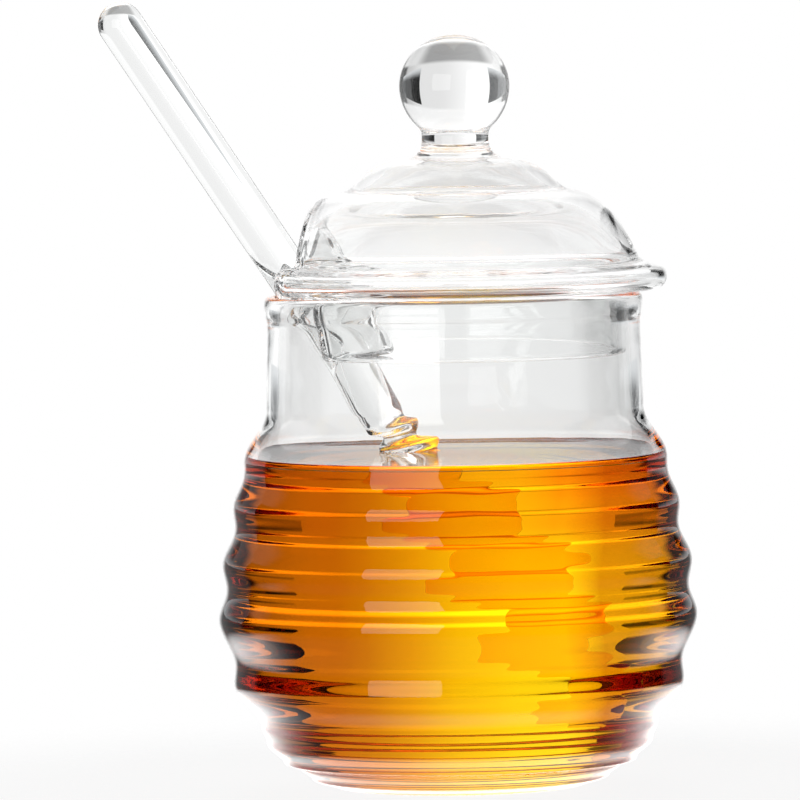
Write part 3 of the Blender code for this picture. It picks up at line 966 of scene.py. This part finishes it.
# %% Divide the studio
TABLE_EDGE = (-20.0, 4.0)
CEILING_EDGE = (16.0, 3.0)
LEFT_EDGE = (-4.0, 34.0)
BACKDROP_EDGE = (51.0, 8.0)
FRONT_EDGE = (53.0, 10.0)
BEHIND_EDGE = (66.0, 14.0)
below = 1 - past(elevation, *TABLE_EDGE)
above = past(elevation, *CEILING_EDGE)
level = (1 - below) * (1 - above)
to_left = 1 - past(azimuth, *LEFT_EDGE)
behind = 1 - past(aside, *BEHIND_EDGE)
in_front = past(aside, *FRONT_EDGE)
print("the backdrop is", 2 * BACKDROP_EDGE[0], "degrees wide")

# %% [markdown]
# The backdrop is brightest on the left, and loses a little towards its edges. The dark beyond them is what
# the edges of the glass bend into view, and so draws their dark lines. The ceiling has a slightly brighter
# stretch, as from panels hung there. The table is darker in its middle than at its sides.

# %% Paint the backdrop
BACKDROP_LIGHT = 0.96
BACKDROP_MORE_ON_LEFT = 0.34
BACKDROP_FADE_EDGE = (36.0, 20.0)
BACKDROP_FADE = 0.25
FRONT_LIGHT = 0.03
backdrop_fade = past(aside, *BACKDROP_FADE_EDGE) * BACKDROP_FADE
backdrop_light = BACKDROP_LIGHT + to_left * BACKDROP_MORE_ON_LEFT - backdrop_fade
backdrop = (1 - past(aside, *BACKDROP_EDGE)) * backdrop_light
front = in_front * FRONT_LIGHT
print("backdrop light:", BACKDROP_LIGHT, "and up to", BACKDROP_MORE_ON_LEFT, "more on the left")

# %% Paint the ceiling
CEILING_LIGHT = 1.12
CEILING_MORE_ON_LEFT = 0.1
CEILING_PANELS = (29.0, 56.0)
CEILING_PANELS_SOFT = 14.0
CEILING_PANELS_LIGHT = 0.15
CEILING_IN_FRONT = 0.05
OVERHEAD_EDGE = (58.0, 8.0)
OVERHEAD_LIGHT = 0.4
panels_start = past(elevation, CEILING_PANELS[0], CEILING_PANELS_SOFT)
panels = panels_start * (1 - past(elevation, CEILING_PANELS[1], CEILING_PANELS_SOFT))
ceiling_light = CEILING_LIGHT + to_left * CEILING_MORE_ON_LEFT + panels * CEILING_PANELS_LIGHT
ceiling = ceiling_light * behind + in_front * CEILING_IN_FRONT
overhead = past(elevation, *OVERHEAD_EDGE) * in_front * OVERHEAD_LIGHT
print("ceiling light:", CEILING_LIGHT, "and overhead in front", OVERHEAD_LIGHT)

# %% Paint the table
TABLE_LIGHT = 0.43
TABLE_MORE_ON_LEFT = 0.1
TABLE_SIDES_EDGE = (30.0, 16.0)
TABLE_SIDES_LIGHT = 0.5
TABLE_IN_FRONT = 0.2
table_sides = past(aside, *TABLE_SIDES_EDGE) * TABLE_SIDES_LIGHT
table = (TABLE_LIGHT + to_left * TABLE_MORE_ON_LEFT + table_sides) * behind + in_front * TABLE_IN_FRONT
print("table light:", TABLE_LIGHT, "in the middle and", TABLE_SIDES_LIGHT, "more at the sides")

# %% [markdown]
# A mirrored ray and a bent one need different rooms. In the view from the front, the dark room in front is
# mostly mirrored, and keeps the glass from looking milky. Seen from behind, the same dark would shine through
# the jar, so it is opened for rays that have passed through glass. The backdrop's sides, in turn, are dimmed
# where they are only mirrored, because at the edge of the honey they would lie over the amber as a grey veil.

# %% Open the front and dim the mirrored sides
OPEN_EDGE = (86.0, 8.0)
OPEN_LEVEL = 0.84
OPEN_ABOVE = 0.8
OPEN_BELOW = 0.5
MIRROR_EDGE = (16.0, 12.0)
MIRROR_LOSS = 0.8
has_passed = studio.add("ShaderNodeLightPath", out="Is Transmission Ray")
open_light = level * OPEN_LEVEL + above * OPEN_ABOVE + below * OPEN_BELOW
open_front = has_passed * past(aside, *OPEN_EDGE) * open_light
mirror_dim = 1 - (1 - has_passed) * past(aside, *MIRROR_EDGE) * MIRROR_LOSS
room = level * (backdrop + front) + above * (ceiling + overhead) + below * table
light = room * mirror_dim + open_front
camera_looks = studio.add("ShaderNodeLightPath", out="Is Camera Ray")
painted = studio.add("ShaderNodeBackground", None, {0: WHITE, 1: light})
plain = studio.add("ShaderNodeBackground", None, {0: WHITE, 1: 1.0})
either = studio.add("ShaderNodeMixShader", None, {0: camera_looks, 1: painted, 2: plain})
studio.add("ShaderNodeOutputWorld", None, {"Surface": either})
print("the studio's tree has", len(world.node_tree.nodes), "nodes")

# %% [markdown]
# One real soft box hangs in front on the left. Its square leaves the pale window on each rib.

# %% Hang the soft box
BOX_PLACE = Vector((-0.66, -1.24, 0.36))
BOX_AIM = Vector((0.0, 0.0, 0.06))
BOX_SIDE = 1.0
BOX_POWER = 6.2
box_light = bpy.data.lights.new("front_left_box", "AREA")
box_light.shape = "RECTANGLE"
box_light.size = BOX_SIDE
box_light.size_y = BOX_SIDE
box_light.energy = BOX_POWER
box = bpy.data.objects.new("front_left_box", box_light)
bpy.context.scene.collection.objects.link(box)
box.location = BOX_PLACE
box.rotation_euler = (BOX_AIM - BOX_PLACE).to_track_quat("-Z", "Y").to_euler()
box.visible_camera = False
print("soft box", round((BOX_AIM - BOX_PLACE).length, 2), "m away,", BOX_POWER, "W")

# %% [markdown]
# Two cards stand behind the jar, level with the lid and beside the backdrop's bright middle. Each is darkest
# in a strip along its inner edge. They draw the dark lines in the knob and along the rod. Towards its foot a
# card fades to about the backdrop's own light, so that the honey shows little of it.

# %% Hang the cards
CARD_BACK = 250.0 * MM
CARD_INNER = 122.0 * MM
CARD_STRIP_END = 192.0 * MM
CARD_OUTER = 380.0 * MM
CARD_STRIP_SOFT = 4.0 * MM
CARD_FOOT = 46.0 * MM
CARD_TOP = 190.0 * MM
CARD_FADE = 45.0 * MM
CARD_FOOT_LIGHT = 0.85
CARD_COLOUR = (0.95, 0.98, 1.0, 1.0)


def card_finish(name, side, strip, rest):
    finish, bench = new_finish(name)
    spot = bench.add("ShaderNodeTexCoord", out="Object")
    outwards = part_of(bench, spot, "X") * side
    strip_ends = (CARD_STRIP_END - CARD_STRIP_SOFT, CARD_STRIP_END + CARD_STRIP_SOFT)
    tone = slide(bench, outwards, *strip_ends, strip, rest)
    height = part_of(bench, spot, "Z")
    near_foot = soft_slide(bench, height, CARD_FOOT, CARD_FOOT + CARD_FADE, 1.0, 0.0)
    faded = tone + near_foot * (CARD_FOOT_LIGHT - tone)
    dull = bench.add("ShaderNodeEmission", None, {0: CARD_COLOUR, 1: faded})
    bench.add("ShaderNodeOutputMaterial", None, {"Surface": dull})
    return finish


def card(name, side, strip, rest):
    """side is -1 on the left and 1 on the right; strip and rest say how light those two parts are."""
    feet = ((CARD_INNER, CARD_FOOT), (CARD_OUTER, CARD_FOOT))
    tops = ((CARD_OUTER, CARD_TOP), (CARD_INNER, CARD_TOP))
    mesh = bpy.data.meshes.new(name)
    mesh.from_pydata([(side * x, CARD_BACK, z) for x, z in feet + tops], [], [(0, 1, 2, 3)])
    mesh.materials.append(card_finish(name, side, strip, rest))
    board = bpy.data.objects.new(name, mesh)
    bpy.context.scene.collection.objects.link(board)
    board.visible_camera = False
    board.visible_shadow = False
    print(name, "is", round((CARD_OUTER - CARD_INNER) / MM), "mm wide")


card("card_left", side=-1, strip=0.14, rest=0.32)
card("card_right", side=1, strip=0.0, rest=0.1)

# %% [markdown]
# ## The floor
# A white table top that fades out with distance, so it catches the jar's faint shadow but has no edge. The
# camera sees it almost white by itself. Bent rays see what the table does under a jar of honey: light from
# behind passes down through the glass and makes the table glow under and behind the jar, which is what
# brightens the honey's foot. A ray that has already passed the glass finds the table bright everywhere.

# %% The table top's finish
FLOOR_RADIUS = 0.17
FLOOR_FADE = (FLOOR_RADIUS * 0.4, FLOOR_RADIUS * 0.95)
FLOOR_PAINT = (0.9, 0.9, 0.9, 1.0)
FLOOR_OWN_LIGHT = 1.06
FLOOR_OWN_SHARE = 0.85
GLOW_BEHIND = (-25.0 * MM, 20.0 * MM, 0.1, 3.0)
GLOW_UNDER = (30.0 * MM, 42.0 * MM, 2.4, 0.0)
GLOW_THROUGH = 1.6


def table_finish(name):
    finish, bench = new_finish(name)
    spot = bench.add("ShaderNodeTexCoord", out="Object")
    distance = bench.add("ShaderNodeVectorMath", {"operation": "LENGTH"}, {0: spot}, "Value")
    paint = bench.add("ShaderNodeBsdfDiffuse", None, {0: FLOOR_PAINT})
    own_light = bench.add("ShaderNodeEmission", None, {0: WHITE, 1: FLOOR_OWN_LIGHT})
    looks_white = bench.add("ShaderNodeMixShader", None, {0: FLOOR_OWN_SHARE, 1: paint, 2: own_light})
    behind_jar = soft_slide(bench, part_of(bench, spot, "Y"), *GLOW_BEHIND)
    under_jar = soft_slide(bench, distance, *GLOW_UNDER)
    passed = bench.add("ShaderNodeLightPath", out="Is Transmission Ray")
    brighter = behind_jar.maths("MAXIMUM", behind_jar, under_jar)
    glow = brighter.maths("MAXIMUM", brighter, passed * GLOW_THROUGH)
    bright = bench.add("ShaderNodeEmission", None, {0: WHITE, 1: glow})
    camera_ray = bench.add("ShaderNodeLightPath", out="Is Camera Ray")
    lit = bench.add("ShaderNodeMixShader", None, {0: camera_ray, 1: bright, 2: looks_white})
    fade = soft_slide(bench, distance, *FLOOR_FADE, 0.0, 1.0)
    clear = bench.add("ShaderNodeBsdfTransparent")
    faded = bench.add("ShaderNodeMixShader", None, {0: fade, 1: lit, 2: clear})
    bench.add("ShaderNodeOutputMaterial", None, {"Surface": faded})
    return finish


# %% Lay the floor
FLOOR_SIDES = 96
FLOOR_DROP = 0.2 * MM
bm = bmesh.new()
bmesh.ops.create_circle(bm, cap_ends=True, radius=FLOOR_RADIUS, segments=FLOOR_SIDES)
floor_mesh = bpy.data.meshes.new("floor")
bm.to_mesh(floor_mesh)
bm.free()
floor_mesh.materials.append(table_finish("table_top"))
floor = bpy.data.objects.new("floor", floor_mesh)
bpy.context.scene.collection.objects.link(floor)
floor.location.z = -FLOOR_DROP
print("floor", 2 * FLOOR_RADIUS, "m across")

# %% [markdown]
# ## How the picture is developed
# The Standard view keeps white white. Glass in glass needs many bounces, or the overlaps turn black.

# %% Develop the picture
scene = bpy.context.scene
scene.view_settings.view_transform = "Standard"
scene.cycles.max_bounces = 64
scene.cycles.transmission_bounces = 64
scene.cycles.glossy_bounces = 32
scene.cycles.transparent_max_bounces = 96
print("light may bounce", scene.cycles.max_bounces, "times")

# %% [markdown]
# ## Fit the pieces to the frame
# Every piece rides on the one body and stands for its solid.

# %% Attach the pieces and hide their solids
PIECES = (
    (jar, "jar", "jar_glass"),
    (lid, "lid", "lid_glass"),
    (dipper, "dipper", "dipper_glass"),
    (honey, "honey", "honey"),
)
for piece, node, slot in PIECES:
    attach(piece, "root")
    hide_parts(node)
print("pieces:", ", ".join(piece.name for piece, _, _ in PIECES))
